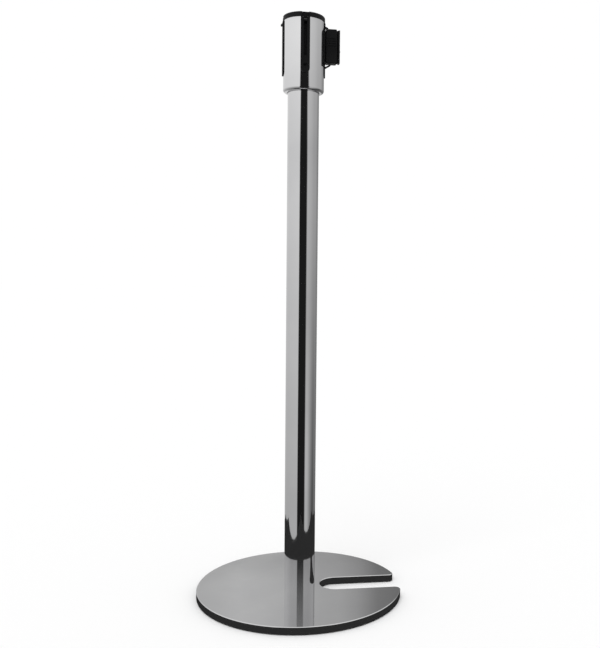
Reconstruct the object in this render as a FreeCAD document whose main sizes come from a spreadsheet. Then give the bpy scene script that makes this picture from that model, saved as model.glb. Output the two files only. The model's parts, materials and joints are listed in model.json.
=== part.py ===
"""Retractable belt stanchion: a slotted disc base, a round post and a belt head.

Millimetres, +Z up.  The origin lies on the floor, on the post's axis.  The belt
leaves the head along +X, which is also where the base's nesting slot opens.
"""
import FreeCAD, Part
import math
import os
import Sketcher

Vector = FreeCAD.Vector

# Driving dimensions.  Each becomes one aliased cell of the sheet.
DIMENSIONS = {
    # base
    "base_radius": 170, "base_thickness": 12, "base_lift": 1, "base_edge": 1.2,
    "slot_width": 54, "slot_start": 34.5, "slot_corner": 9,
    "pad_radius": 10, "pad_thickness": 2, "pad_ring": 145, "centre_pad_radius": 22,
    "bolt_radius": 6, "bolt_head_radius": 11.5, "bolt_head_height": 6, "bolt_length": 30,
    "bolt_clearance": 0.3, "dowel_radius": 2.5, "dowel_length": 16, "dowel_ring": 15,
    # post
    "tube_radius": 25.4, "tube_wall": 1.2, "tube_top": 847.5, "plug_height": 25,
    "spigot_length": 30, "adapter_bore": 7, "collar_lift": 6,
    # head
    "sleeve_radius": 33, "sleeve_wall": 1.2, "sleeve_bottom": 826, "sleeve_top": 938,
    "sleeve_roll": 4, "sleeve_lip_radius": 25.9, "fit_gap": 0.1,
    "cap_radius": 34, "cap_height": 8, "cap_round": 2.4, "cap_foot_radius": 27.6,
    "cassette_bottom": 851.5, "deck_bottom": 928.5, "deck_top": 935.5, "bore_radius": 23.2,
    "core_wall": 3, "floor_thickness": 3, "rib_half_width": 10.2, "frame_radius": 31.5,
    "window_margin": 2, "window_inset": 4, "window_side": 4,
    # receiver rails
    "rail_width": 14.6, "rail_face_radius": 34.8, "rail_back": 28, "rail_chamfer": 1.6,
    "tee_floor": 877.5, "tee_width": 11.2, "tee_back": 29.5, "tee_front": 32.8, "neck_width": 5.2,
    "screw_level": 862.5, "screw_radius": 1.5, "screw_head_radius": 3.3, "screw_head_height": 2,
    "screw_sink": 3, "screw_length": 6.5,
    # screws of the lid and of the cassette
    "cap_screw_ring": 22, "cap_screw_head": 2.9, "cap_screw_height": 2.2, "cap_screw_length": 11.5,
    "cross_width": 0.8, "cross_length": 3.6, "frame_screw_ring": 13.5, "frame_screw_radius": 2,
    "frame_screw_head": 3.4, "frame_screw_height": 2.1, "frame_screw_length": 12,
    "frame_screw_lift": 0.7,
    # catches
    "catch_width": 4.6, "catch_bottom": 930.2, "catch_height": 4.6, "catch_reach": 37,
    "catch_tail": 19, "catch_gap": 0.2, "channel_width": 5, "channel_start": 6,
    "nose_edge": 0.8, "nose_slope": 2.6, "spring_radius": 1.7, "spring_wire": 0.5,
    # belt and spool
    "belt_width": 48, "belt_thickness": 0.5, "belt_middle": 901.5, "coil_radius": 19.6,
    "hub_radius": 8, "boss_wall": 2, "flange_radius": 22, "flange_thickness": 1.5, "flange_gap": 0.8,
    "axle_radius": 3, "axle_end_gap": 0.7, "axle_slot_width": 1, "axle_slot_margin": 0.5,
    "anchor_radius": 0.9, "anchor_ring": 6, "bush_radius": 4.5, "bush_height": 3,
    "running_gap": 0.05, "play": 0.3, "webbing_start": 24.4, "lead_in_gap": 3.6,
    "guide_pin_radius": 1.5, "guide_pin_place": 25.4, "guide_pin_rest": 1.95,
    "spring_top": 868.5, "spring_width": 12, "strip": 0.4, "case_radius": 22.9, "case_wall": 1,
    "case_hole_gap": 0.6, "spring_eye_gap": 0.35, "spring_tab_start": 1.2,
    # belt mouth
    "mouth_width": 3.2, "mouth_margin": 1.5, "lip_width": 8.8, "lip_root": 0.6, "lip_tip": 1.2,
    "lip_gap": 0.7, "lip_thickness": 1.9, "lower_lip_reach": 9.5, "lower_lip_rise": 4.9,
    "upper_lip_reach": 4.8, "upper_lip_rise": 1.4,
    # belt-end clip
    "clip_start": 35.2, "clip_end": 53, "clip_height": 54.4, "clip_half_width": 7, "clip_round": 1.6,
    "head_width": 10.4, "head_thickness": 2.8, "head_height": 52, "head_neck": 2.3, "neck_play": 0.8,
    "neck_root": 2, "nib_root": 0.5, "nib_drop": 7, "nib_height": 3.2, "nib_reach": 1, "nib_width": 5,
    "belt_channel_half": 1.1, "channel_margin": 0.5, "ply_inset": 2,
    "loop_pin_radius": 1.5, "loop_pin_place": 46.5, "loop_pin_rest": 1.5,
    "clip_dowel_radius": 1.2, "clip_dowel_length": 8, "clip_dowel_inset": 2.2, "dowel_spread": 20,
    "grip_top": 11.6, "grip_pitch": 3.8, "grip_width": 1.2, "grip_depth": 0.6,
    "grip_start": 2.2, "grip_end": 1.8,
}

# Names and directions of the three receivers; the belt mouth faces +X, at zero degrees.
RECEIVERS = (("rear", 90), ("left", 180), ("front", 270))
QUARTERS = (0, 90, 180, 270)
CAP_SCREW_ANGLES = (45, 225)
FRAME_SCREW_ANGLES = (60, 180, 300)
POWER_SPRING_TURNS = 9
CATCH_SPRING_TURNS = 4
GRIP_GROOVES = 4

# How far a cutting shape runs past the solid, and how close two measures count as equal.
BEYOND = 1
CLOSE = 0.01

doc = FreeCAD.newDocument("belt_stanchion")
sheet = doc.addObject("Spreadsheet::Sheet", "dims")
nodes = []


class Size:
    """A number together with the sheet formula that it comes from."""

    def __init__(self, value, formula):
        self.value = value
        self.formula = formula

    def __add__(self, other):
        other = size(other)
        return Size(self.value + other.value, f"({self.formula} + {other.formula})")

    def __sub__(self, other):
        other = size(other)
        return Size(self.value - other.value, f"({self.formula} - {other.formula})")

    def __mul__(self, other):
        other = size(other)
        return Size(self.value * other.value, f"({self.formula} * {other.formula})")

    def __truediv__(self, other):
        other = size(other)
        return Size(self.value / other.value, f"({self.formula} / {other.formula})")

    def __neg__(self):
        return size(0) - self


def size(number):
    """Wrap a plain number, and pass a Size through."""
    return number if isinstance(number, Size) else Size(float(number), repr(float(number)))


class Dims:
    """The sheet's cells as attributes, each one a Size."""


def fill_sheet():
    dims = Dims()
    for row, (name, value) in enumerate(DIMENSIONS.items(), start=1):
        sheet.set(f"A{row}", name)
        sheet.set(f"B{row}", str(value))
        sheet.setAlias(f"B{row}", name)
        setattr(dims, name, Size(float(value), f"dims.{name}"))
    doc.recompute()
    return dims


# ---------------------------------------------------------------- helpers

def bind(obj, prop, amount):
    """Give a property its value now and bind it to the sheet."""
    obj.setExpression(prop, size(amount).formula)


def place(obj, x=0, y=0, z=0):
    for axis, amount in (("x", x), ("y", y), ("z", z)):
        bind(obj, f"Placement.Base.{axis}", amount)
    return obj


def turn(obj, angle):
    """Turn a finished sub-part about the post's axis."""
    obj.Placement = FreeCAD.Placement(Vector(0, 0, 0), FreeCAD.Rotation(Vector(0, 0, 1), angle))
    return obj


def node(obj, label):
    """Register a finished sub-part under the name of its file."""
    obj.Label = label
    nodes.append(obj)
    return obj


def cylinder(name, radius, height, x=0, y=0, z=0):
    obj = doc.addObject("Part::Cylinder", name)
    bind(obj, "Radius", radius)
    bind(obj, "Height", height)
    return place(obj, x, y, z)


def cone(name, low_radius, high_radius, height, z):
    obj = doc.addObject("Part::Cone", name)
    bind(obj, "Radius1", low_radius)
    bind(obj, "Radius2", high_radius)
    bind(obj, "Height", height)
    return place(obj, z=z)


def radial_cylinder(name, radius, start, end, level, angle):
    """A cylinder that points away from the post's axis."""
    obj = doc.addObject("Part::Cylinder", name)
    bind(obj, "Radius", radius)
    bind(obj, "Height", size(end) - start)
    obj.Placement.Rotation = (FreeCAD.Rotation(Vector(0, 0, 1), angle)
                              * FreeCAD.Rotation(Vector(0, 1, 0), 90))
    start = size(start)
    return place(obj, start * round(math.cos(math.radians(angle)), 6),
                 start * round(math.sin(math.radians(angle)), 6), level)


def box(name, low, high):
    """A box between two corners."""
    obj = doc.addObject("Part::Box", name)
    for prop, start, end in zip(("Length", "Width", "Height"), low, high):
        bind(obj, prop, size(end) - start)
    return place(obj, *low)


def cut(name, base, tool):
    obj = doc.addObject("Part::Cut", name)
    obj.Base = base
    obj.Tool = tool
    return obj


def common(name, base, tool):
    obj = doc.addObject("Part::Common", name)
    obj.Base = base
    obj.Tool = tool
    return obj


def fuse(name, shapes):
    obj = doc.addObject("Part::MultiFuse", name)
    obj.Shapes = shapes
    return obj


def group(name, shapes):
    """Separate solids that share one node."""
    obj = doc.addObject("Part::Compound", name)
    obj.Links = shapes
    return obj


def tube(name, inner, outer, height, z):
    return cut(name, cylinder(name + "_outside", outer, height, z=z),
               cylinder(name + "_inside", inner, height, z=z))


def turned_copies(name, source, angles):
    """Copies of one shape about the post's axis, each one bound to the first."""
    return [turn(group(f"{name}_{index}", [source]), angle) for index, angle in enumerate(angles, start=1)]


# ---------------------------------------------------------------- sketch helpers

def make_body(label):
    return node(doc.addObject("PartDesign::Body", label + "_body"), label)


def origin_feature(body, role):
    return next(f for f in body.Origin.OriginFeatures if f.Role == role)


def add_sketch(body, name, role="XY_Plane", offset=0):
    sketch = body.newObject("Sketcher::SketchObject", name)
    sketch.AttachmentSupport = [(origin_feature(body, role), "")]
    sketch.MapMode = "FlatFace"
    bind(sketch, "AttachmentOffset.Base.z", offset)
    return sketch


def dimension(sketch, kind, *args):
    """Add a constraint whose last argument is a Size, bound to the sheet."""
    amount = size(args[-1])
    index = sketch.addConstraint(Sketcher.Constraint(kind, *args[:-1], amount.value))
    sketch.setExpression(f"Constraints[{index}]", amount.formula)


def fix_point(sketch, edge, end, x, y):
    dimension(sketch, "DistanceX", -1, 1, edge, end, x)
    dimension(sketch, "DistanceY", -1, 1, edge, end, y)


def circle(sketch, radius, x=0, y=0):
    x, y, radius = size(x), size(y), size(radius)
    edge = sketch.addGeometry(Part.Circle(Vector(x.value, y.value, 0), Vector(0, 0, 1), radius.value))
    fix_point(sketch, edge, 3, x, y)
    dimension(sketch, "Radius", edge, radius)


def outline(sketch, points, arcs=None):
    """A closed outline through points.  arcs maps the number of a stretch to its arc's centre."""
    arcs = arcs or {}
    points = [(size(x), size(y)) for x, y in points]
    starts = []
    for index, start in enumerate(points):
        end = points[(index + 1) % len(points)]
        if index in arcs:
            starts.append(add_arc(sketch, start, end, arcs[index]))
        else:
            line = Part.LineSegment(Vector(start[0].value, start[1].value, 0),
                                    Vector(end[0].value, end[1].value, 0))
            starts.append((sketch.addGeometry(line), 1, 2))
    for index, (edge, start_point, _) in enumerate(starts):
        previous, _, end_point = starts[index - 1]
        sketch.addConstraint(Sketcher.Constraint("Coincident", previous, end_point, edge, start_point))
        if index not in arcs and (index - 1) % len(points) not in arcs:
            fix_point(sketch, edge, start_point, *points[index])
    for index in arcs:
        edge, start_point, end_point = starts[index]
        fix_point(sketch, edge, start_point, *points[index])
        # The radius follows from the centre, so the far end needs one more distance only.
        far = points[(index + 1) % len(points)]
        centre = arcs[index]
        along_x = abs(far[0].value - size(centre[0]).value) < abs(far[1].value - size(centre[1]).value)
        kind = "DistanceX" if along_x else "DistanceY"
        dimension(sketch, kind, -1, 1, edge, end_point, far[0] if along_x else far[1])


def add_arc(sketch, start, end, centre):
    """An arc about centre; a trailing True in centre makes it turn clockwise."""
    clockwise = len(centre) == 3
    centre = (size(centre[0]), size(centre[1]))
    middle = Vector(centre[0].value, centre[1].value, 0)
    first, last = (end, start) if clockwise else (start, end)
    from_x, from_y = first[0].value - middle.x, first[1].value - middle.y
    to_x, to_y = last[0].value - middle.x, last[1].value - middle.y
    whole = Part.Circle(middle, Vector(0, 0, 1), math.hypot(from_x, from_y))
    edge = sketch.addGeometry(Part.ArcOfCircle(whole, math.atan2(from_y, from_x), math.atan2(to_y, to_x)))
    fix_point(sketch, edge, 3, *centre)
    return (edge, 2, 1) if clockwise else (edge, 1, 2)


def rectangle(sketch, left, bottom, right, top):
    outline(sketch, [(left, bottom), (right, bottom), (right, top), (left, top)])


def pad(body, sketch, length, reverse=False, symmetric=False):
    feature = body.newObject("PartDesign::Pad", sketch.Name + "_pad")
    feature.Profile = sketch
    bind(feature, "Length", length)
    feature.Reversed = reverse
    feature.Midplane = symmetric
    doc.recompute()
    return feature


def pocket(body, sketch, depth, reverse=False):
    """Cut a sketch out of the body, and stop if nothing is cut."""
    before = body.Shape.Volume
    feature = body.newObject("PartDesign::Pocket", sketch.Name + "_pocket")
    feature.Profile = sketch
    bind(feature, "Length", depth)
    feature.Reversed = reverse
    doc.recompute()
    if body.Shape.Volume >= before - CLOSE:
        raise SystemExit(f"{sketch.Name} cuts nothing")
    return feature


def revolve(body, sketch, kind="Revolution"):
    """Turn a sketch about the post's axis, to add material or, as a Groove, to cut it."""
    feature = body.newObject("PartDesign::" + kind, sketch.Name + "_turned")
    feature.Profile = sketch
    feature.ReferenceAxis = (origin_feature(body, "Z_Axis"), [""])
    feature.Angle = 360
    doc.recompute()
    return feature


def around(body, feature, count):
    """Repeat a feature about the post's axis."""
    before = body.Shape.Volume
    pattern = body.newObject("PartDesign::PolarPattern", feature.Name + "_around")
    pattern.Originals = [feature]
    pattern.Axis = (origin_feature(body, "Z_Axis"), [""])
    pattern.Angle = 360
    pattern.Occurrences = count
    body.Tip = pattern
    doc.recompute()
    if body.Shape.Volume >= before - CLOSE:
        raise SystemExit(f"{feature.Name} is not repeated")
    return pattern


def dress(body, kind, prop, amount, wanted):
    """Fillet or chamfer the edges that wanted() picks."""
    base = body.Tip
    picked = [f"Edge{i}" for i, edge in enumerate(base.Shape.Edges, start=1) if wanted(edge)]
    if not picked:
        raise SystemExit(f"{body.Label} has no edge for its {kind}")
    feature = body.newObject("PartDesign::" + kind, f"{body.Name}_{kind}")
    feature.Base = (base, picked)
    bind(feature, prop, amount)
    doc.recompute()
    return feature


def lies_at(edge, level):
    return abs(edge.BoundBox.ZMin - level.value) < CLOSE and abs(edge.BoundBox.ZMax - level.value) < CLOSE


def radius_of(edge):
    """Greatest distance of an edge from the post's axis."""
    points = edge.discretize(9)
    return max(math.hypot(p.x, p.y) for p in points)


# ---------------------------------------------------------------- base

def pad_places(d):
    """The middles of the four outer pads, on the diagonals."""
    side = d.pad_ring * round(math.sqrt(0.5), 6)
    return (side, side), (-side, side), (-side, -side), (side, -side)


def base_plate(d):
    """Polished steel disc with a nesting slot that lets the next base slide under the post."""
    body = make_body("base_plate")
    disc = add_sketch(body, "base_disc", offset=d.base_lift)
    circle(disc, d.base_radius)
    pad(body, disc, d.base_thickness)
    slot_half = d.slot_width / 2
    slot_middle = d.slot_start + slot_half
    slot_end = d.base_radius + d.slot_corner
    slot = add_sketch(body, "nesting_slot", offset=d.base_lift)
    outline(slot, [(slot_middle, slot_half), (slot_middle, -slot_half), (slot_end, -slot_half),
                   (slot_end, slot_half)], {0: (slot_middle, 0)})
    pocket(body, slot, d.base_thickness, reverse=True)
    dress(body, "Fillet", "Radius", d.slot_corner,
          lambda e: e.BoundBox.ZLength > d.base_thickness.value / 2
          and e.BoundBox.XMin > slot_middle.value + slot_half.value)
    recesses = add_sketch(body, "pad_recesses", offset=d.base_lift)
    circle(recesses, d.centre_pad_radius + d.fit_gap)
    for x, y in pad_places(d):
        circle(recesses, d.pad_radius + d.fit_gap, x, y)
    pocket(body, recesses, d.pad_thickness - d.base_lift, reverse=True)
    top = d.base_lift + d.base_thickness
    seat = d.pad_thickness + d.bolt_head_height
    clear = d.bolt_radius + d.bolt_clearance
    hole = add_sketch(body, "bolt_hole", "XZ_Plane")
    outline(hole, [(0, d.pad_thickness), (d.bolt_head_radius + d.bolt_clearance, d.pad_thickness),
                   (clear, seat), (clear, top), (0, top)])
    revolve(body, hole, "Groove")
    dowel = add_sketch(body, "dowel_hole", offset=top)
    circle(dowel, d.dowel_radius, -d.dowel_ring)
    pocket(body, dowel, d.dowel_length / 2)
    dress(body, "Fillet", "Radius", d.base_edge,
          lambda e: lies_at(e, top) and radius_of(e) > d.tube_radius.value)
    dress(body, "Chamfer", "Size", d.base_edge / 3,
          lambda e: lies_at(e, d.base_lift) and radius_of(e) > d.base_radius.value - d.slot_corner.value)


def floor_pads(d):
    """Rubber pads in shallow recesses; the middle one hides the bolt."""
    node(cylinder("centre_pad_disc", d.centre_pad_radius, d.pad_thickness), "centre_pad")
    for index, (x, y) in enumerate(pad_places(d), start=1):
        disc = cylinder(f"floor_pad_disc_{index}", d.pad_radius, d.pad_thickness, x, y)
        node(disc, f"floor_pad_{index}")


def base_fasteners(d):
    """Countersunk bolt with a hex socket, the threaded plug that it pulls on, and a dowel."""
    seat = d.pad_thickness + d.fit_gap
    head = cone("bolt_head", d.bolt_head_radius, d.bolt_radius, d.bolt_head_height, seat)
    shank = cylinder("bolt_shank", d.bolt_radius, d.bolt_length - d.fit_gap, z=seat)
    socket = doc.addObject("Part::Prism", "bolt_socket")
    socket.Polygon = 6
    bind(socket, "Circumradius", d.bolt_radius * 0.75)
    bind(socket, "Height", d.bolt_head_height * 0.7)
    place(socket, z=seat)
    node(cut("base_bolt_cut", fuse("base_bolt_solid", [head, shank]), socket), "base_bolt")

    top = d.base_lift + d.base_thickness
    blank = cylinder("plug_blank", d.tube_radius - d.tube_wall, d.plug_height, z=top)
    thread = cylinder("plug_thread", d.bolt_radius, d.plug_height, z=top)
    dowel_hole = cylinder("plug_dowel_hole", d.dowel_radius, d.dowel_length / 2, -d.dowel_ring, 0, top)
    holes = fuse("plug_holes", [thread, dowel_hole])
    node(cut("base_plug_cut", blank, holes), "base_plug")
    dowel = cylinder("dowel", d.dowel_radius, d.dowel_length, -d.dowel_ring, 0, top - d.dowel_length / 2)
    node(dowel, "locating_dowel")


# ---------------------------------------------------------------- post

def post_tube(d):
    body = make_body("post_tube")
    top = d.base_lift + d.base_thickness
    ring = add_sketch(body, "tube_ring", offset=top)
    circle(ring, d.tube_radius)
    circle(ring, d.tube_radius - d.tube_wall)
    pad(body, ring, d.tube_top - top)


def neck(d):
    """The adapter that carries the cassette on the tube, and the ring that centres the sleeve."""
    inside = d.tube_radius - d.tube_wall
    foot = d.tube_top - d.spigot_length
    spigot = cylinder("adapter_spigot", inside, d.spigot_length, z=foot)
    flange = cylinder("adapter_flange", d.frame_radius, d.cassette_bottom - d.tube_top, z=d.tube_top)
    bore = cylinder("adapter_bore", d.adapter_bore, d.cassette_bottom - foot, z=foot)
    hole_foot = d.cassette_bottom - d.frame_screw_length
    hole = cylinder("adapter_screw_hole", d.frame_screw_radius, d.frame_screw_length, d.frame_screw_ring, 0,
                    hole_foot)
    holes = turned_copies("adapter_hole", hole, FRAME_SCREW_ANGLES)
    solid = fuse("adapter_solid", [spigot, flange])
    node(cut("neck_adapter_cut", solid, fuse("adapter_holes", [bore] + holes)), "neck_adapter")
    ring_low = d.sleeve_bottom + d.collar_lift
    node(tube("neck_ring", d.tube_radius + d.fit_gap, d.frame_radius,
              d.tube_top - ring_low - d.fit_gap, ring_low), "neck_collar")


# ---------------------------------------------------------------- head shell

def head_sleeve(d):
    """Polished sleeve: rolled in at the foot, with four slots that the rails stand through."""
    body = make_body("head_sleeve")
    outside = d.sleeve_radius
    inside = outside - d.sleeve_wall
    low = d.sleeve_bottom
    roll_level = low + d.sleeve_roll
    roll_x = outside - d.sleeve_roll
    profile = add_sketch(body, "sleeve_profile", "XZ_Plane")
    outline(profile, [(outside, d.sleeve_top), (inside, d.sleeve_top), (inside, roll_level),
                      (roll_x, low + d.sleeve_wall), (d.sleeve_lip_radius, low + d.sleeve_wall),
                      (d.sleeve_lip_radius, low), (roll_x, low), (outside, roll_level)],
            {2: (roll_x, roll_level, True), 6: (roll_x, roll_level)})
    revolve(body, profile)
    half = d.rail_width / 2 + d.fit_gap
    round_level = d.cassette_bottom + d.rail_width / 2
    above = d.sleeve_top + BEYOND
    slot = add_sketch(body, "rail_slot", "YZ_Plane")
    outline(slot, [(-half, round_level), (half, round_level), (half, above), (-half, above)],
            {0: (0, round_level)})
    around(body, pocket(body, slot, outside, reverse=True), len(QUARTERS))


def top_cap(d):
    """Black lid: rounded at the edge, notched above the receivers, with a foot between the rails."""
    body = make_body("top_cap")
    disc = add_sketch(body, "cap_disc", offset=d.sleeve_top)
    circle(disc, d.cap_radius)
    pad(body, disc, d.cap_height)
    top = d.sleeve_top + d.cap_height
    dress(body, "Fillet", "Radius", d.cap_round, lambda e: lies_at(e, top))
    foot = add_sketch(body, "cap_foot", offset=d.deck_top)
    circle(foot, d.cap_foot_radius)
    pad(body, foot, d.sleeve_top - d.deck_top)
    notch_half = d.tee_width / 2 + d.catch_gap
    for name, angle in RECEIVERS:
        notch = add_sketch(body, "cap_notch_" + name, offset=top)
        notch.AttachmentOffset = FreeCAD.Placement(Vector(0, 0, top.value),
                                                   FreeCAD.Rotation(Vector(0, 0, 1), angle))
        rectangle(notch, d.tee_back, -notch_half, d.cap_radius + BEYOND, notch_half)
        pocket(body, notch, d.cap_height)
    seat = d.cap_height / 2
    for index, angle in enumerate(CAP_SCREW_ANGLES, start=1):
        x = d.cap_screw_ring * round(math.cos(math.radians(angle)), 6)
        y = d.cap_screw_ring * round(math.sin(math.radians(angle)), 6)
        hole = add_sketch(body, f"cap_hole_{index}", offset=top)
        circle(hole, d.screw_radius + d.fit_gap, x, y)
        pocket(body, hole, top - d.deck_top)
        well = add_sketch(body, f"cap_well_{index}", offset=top)
        circle(well, d.cap_screw_head + d.catch_gap, x, y)
        pocket(body, well, seat)


def cap_screws(d):
    """Two cross-recessed screws that hold the lid on the deck."""
    seat = d.sleeve_top + d.cap_height / 2
    ring = d.cap_screw_ring
    head = cylinder("cap_screw_head", d.cap_screw_head, d.cap_screw_height, ring, 0, seat)
    low, high = seat + d.cap_screw_height / 2, seat + d.cap_screw_height
    long, thin = d.cross_length / 2, d.cross_width / 2
    cross = [box("cross_along", (ring - long, -thin, low), (ring + long, thin, high)),
             box("cross_over", (ring - thin, -long, low), (ring + thin, long, high))]
    shank = cylinder("cap_screw_shank", d.screw_radius, d.cap_screw_length, ring, 0,
                     seat - d.cap_screw_length)
    screw = cut("cap_screw", fuse("cap_screw_solid", [head, shank]), fuse("cap_screw_recess", cross))
    node(group("cap_screw_pair", turned_copies("cap_screw_place", screw, CAP_SCREW_ANGLES)), "cap_screws")


# ---------------------------------------------------------------- receiver rails

def rail_blank(d, label):
    """A rail's outside: curved face, full-round foot, chamfered top."""
    body = make_body(label)
    half = d.rail_width / 2
    face_at_side = Size(math.sqrt(d.rail_face_radius.value ** 2 - half.value ** 2),
                        f"sqrt({d.rail_face_radius.formula} ^ 2 - {half.formula} ^ 2)")
    section = add_sketch(body, label + "_section", offset=d.cassette_bottom)
    outline(section, [(face_at_side, -half), (face_at_side, half), (d.rail_back, half),
                      (d.rail_back, -half)], {0: (0, 0)})
    pad(body, section, d.sleeve_top - d.cassette_bottom)
    round_level = d.cassette_bottom + half
    below = d.cassette_bottom - BEYOND
    side = half + BEYOND
    corners = add_sketch(body, label + "_foot", "YZ_Plane")
    for sign in (1, -1):
        start, end = (0, d.cassette_bottom), (half * sign, round_level)
        arc = (0, round_level) if sign == 1 else (0, round_level, True)
        outline(corners, [start, end, (side * sign, round_level), (side * sign, below), (0, below)],
                {0: arc})
    pocket(body, corners, d.rail_face_radius + BEYOND, reverse=True)
    dress(body, "Chamfer", "Size", d.rail_chamfer,
          lambda e: lies_at(e, d.sleeve_top) and e.BoundBox.XMin > d.tee_front.value)
    return body


def screw_hole(d, body, label):
    """The counterbored hole near the rail's foot, cut from the face inwards."""
    seat_radius = d.screw_head_radius + d.catch_gap
    seat_start = d.rail_face_radius - d.screw_sink
    for part, radius, start in (("seat", seat_radius, seat_start), ("hole", d.screw_radius, d.rail_back)):
        ring = add_sketch(body, f"{label}_screw_{part}", "YZ_Plane", start)
        circle(ring, radius, 0, d.screw_level)
        pocket(body, ring, d.rail_face_radius + BEYOND - start, reverse=True)


def receiver(d, name, angle):
    """A T-slotted rail: the head of another post's clip drops into it from above."""
    label = "receiver_" + name
    body = rail_blank(d, label)
    tee = d.tee_width / 2
    neck_half = d.neck_width / 2
    outside = d.rail_face_radius + BEYOND
    slot = add_sketch(body, label + "_tee", offset=d.tee_floor)
    outline(slot, [(d.tee_back, -tee), (d.tee_front, -tee), (d.tee_front, -neck_half),
                   (outside, -neck_half), (outside, neck_half), (d.tee_front, neck_half),
                   (d.tee_front, tee), (d.tee_back, tee)])
    pocket(body, slot, d.sleeve_top + BEYOND - d.tee_floor, reverse=True)
    window_half = d.channel_width / 2
    window_low = d.catch_bottom - d.catch_gap
    window = add_sketch(body, label + "_window", offset=window_low)
    rectangle(window, d.rail_back - BEYOND, -window_half, d.tee_back + BEYOND, window_half)
    pocket(body, window, d.sleeve_top + BEYOND - window_low, reverse=True)
    screw_hole(d, body, label)
    turn(body, angle)


def belt_mouth(d):
    """The rail that the belt leaves through, with a flared lip above and below the clip."""
    label = "belt_mouth"
    body = rail_blank(d, label)
    half = d.belt_width / 2 + d.mouth_margin
    gap = d.mouth_width / 2
    slot = add_sketch(body, "mouth_slot", "YZ_Plane")
    rectangle(slot, -gap, d.belt_middle - half, gap, d.belt_middle + half)
    pocket(body, slot, d.rail_face_radius + BEYOND, reverse=True)
    screw_hole(d, body, label)
    face = d.rail_face_radius - d.lip_root
    for name, sign, reach, rise in (("lower", -1, d.lower_lip_reach, d.lower_lip_rise),
                                    ("upper", 1, d.upper_lip_reach, d.upper_lip_rise)):
        tip = d.belt_middle + (d.clip_height / 2 + d.lip_gap) * sign
        root = tip + rise * sign
        lip = add_sketch(body, name + "_lip", "XZ_Plane")
        outline(lip, [(face, root + d.lip_thickness * sign), (face + reach, tip + d.lip_tip * sign),
                      (face + reach, tip), (face, root)])
        pad(body, lip, d.lip_width, symmetric=True)


def rail_screws(d):
    """One screw at the foot of each rail."""
    seat = d.rail_face_radius - d.screw_sink
    head = radial_cylinder("rail_screw_head", d.screw_head_radius, seat, seat + d.screw_head_height,
                           d.screw_level, 0)
    shank = radial_cylinder("rail_screw_shank", d.screw_radius, seat - d.screw_length, seat,
                            d.screw_level, 0)
    socket = doc.addObject("Part::Prism", "rail_screw_socket")
    socket.Polygon = 6
    bind(socket, "Circumradius", d.screw_radius)
    bind(socket, "Height", d.screw_head_height)
    socket.Placement.Rotation = FreeCAD.Rotation(Vector(0, 1, 0), 90)
    place(socket, seat + d.screw_head_height * 0.4, 0, d.screw_level)
    screw = cut("rail_screw", fuse("rail_screw_solid", [head, shank]), socket)
    node(group("rail_screw_set", turned_copies("rail_screw_place", screw, QUARTERS)), "rail_screws")


def catch(d, name, angle):
    """The sprung catch that keeps a clip from lifting out; its nose is pressed to free the clip."""
    top = d.catch_bottom + d.catch_height
    nose = d.catch_reach
    body = make_body("catch_" + name)
    profile = add_sketch(body, "catch_profile_" + name, "XZ_Plane")
    # The nose slopes above, so that a clip pushes it in on its way down.
    outline(profile, [(d.catch_tail, d.catch_bottom), (nose - d.nose_edge, d.catch_bottom),
                      (nose, d.catch_bottom + d.nose_edge), (nose, top - d.nose_slope),
                      (nose - d.nose_slope, top), (d.catch_tail, top)])
    pad(body, profile, d.catch_width, symmetric=True)
    turn(body, angle)


def catch_spring(d, name, angle):
    """The small compression spring behind a catch, wound from square wire."""
    start = d.channel_start + d.fit_gap
    wire_half = d.spring_wire / 2
    length = d.catch_tail - d.fit_gap - start - d.spring_wire
    helix = doc.addObject("Part::Helix", "catch_spring_line_" + name)
    bind(helix, "Radius", d.spring_radius)
    bind(helix, "Height", length)
    bind(helix, "Pitch", length / CATCH_SPRING_TURNS)
    section = doc.addObject("Part::Plane", "catch_spring_wire_" + name)
    bind(section, "Length", d.spring_wire)
    bind(section, "Width", d.spring_wire)
    section.Placement.Rotation = FreeCAD.Rotation(Vector(1, 0, 0), 90)
    place(section, d.spring_radius - wire_half, 0, -wire_half)
    coil = doc.addObject("Part::Sweep", "catch_spring_coil_" + name)
    coil.Sections = [section]
    coil.Spine = helix
    coil.Solid = True
    coil.Frenet = True
    doc.recompute()
    level = d.catch_bottom.value + d.catch_height.value / 2
    around_post = FreeCAD.Rotation(Vector(0, 0, 1), angle)
    lie_down = FreeCAD.Rotation(Vector(0, 1, 0), 90)
    foot = around_post.multVec(Vector(start.value + wire_half.value, 0, level))
    coil.Placement = FreeCAD.Placement(foot, around_post * lie_down)
    node(coil, "catch_spring_" + name)


# ---------------------------------------------------------------- cassette

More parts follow.
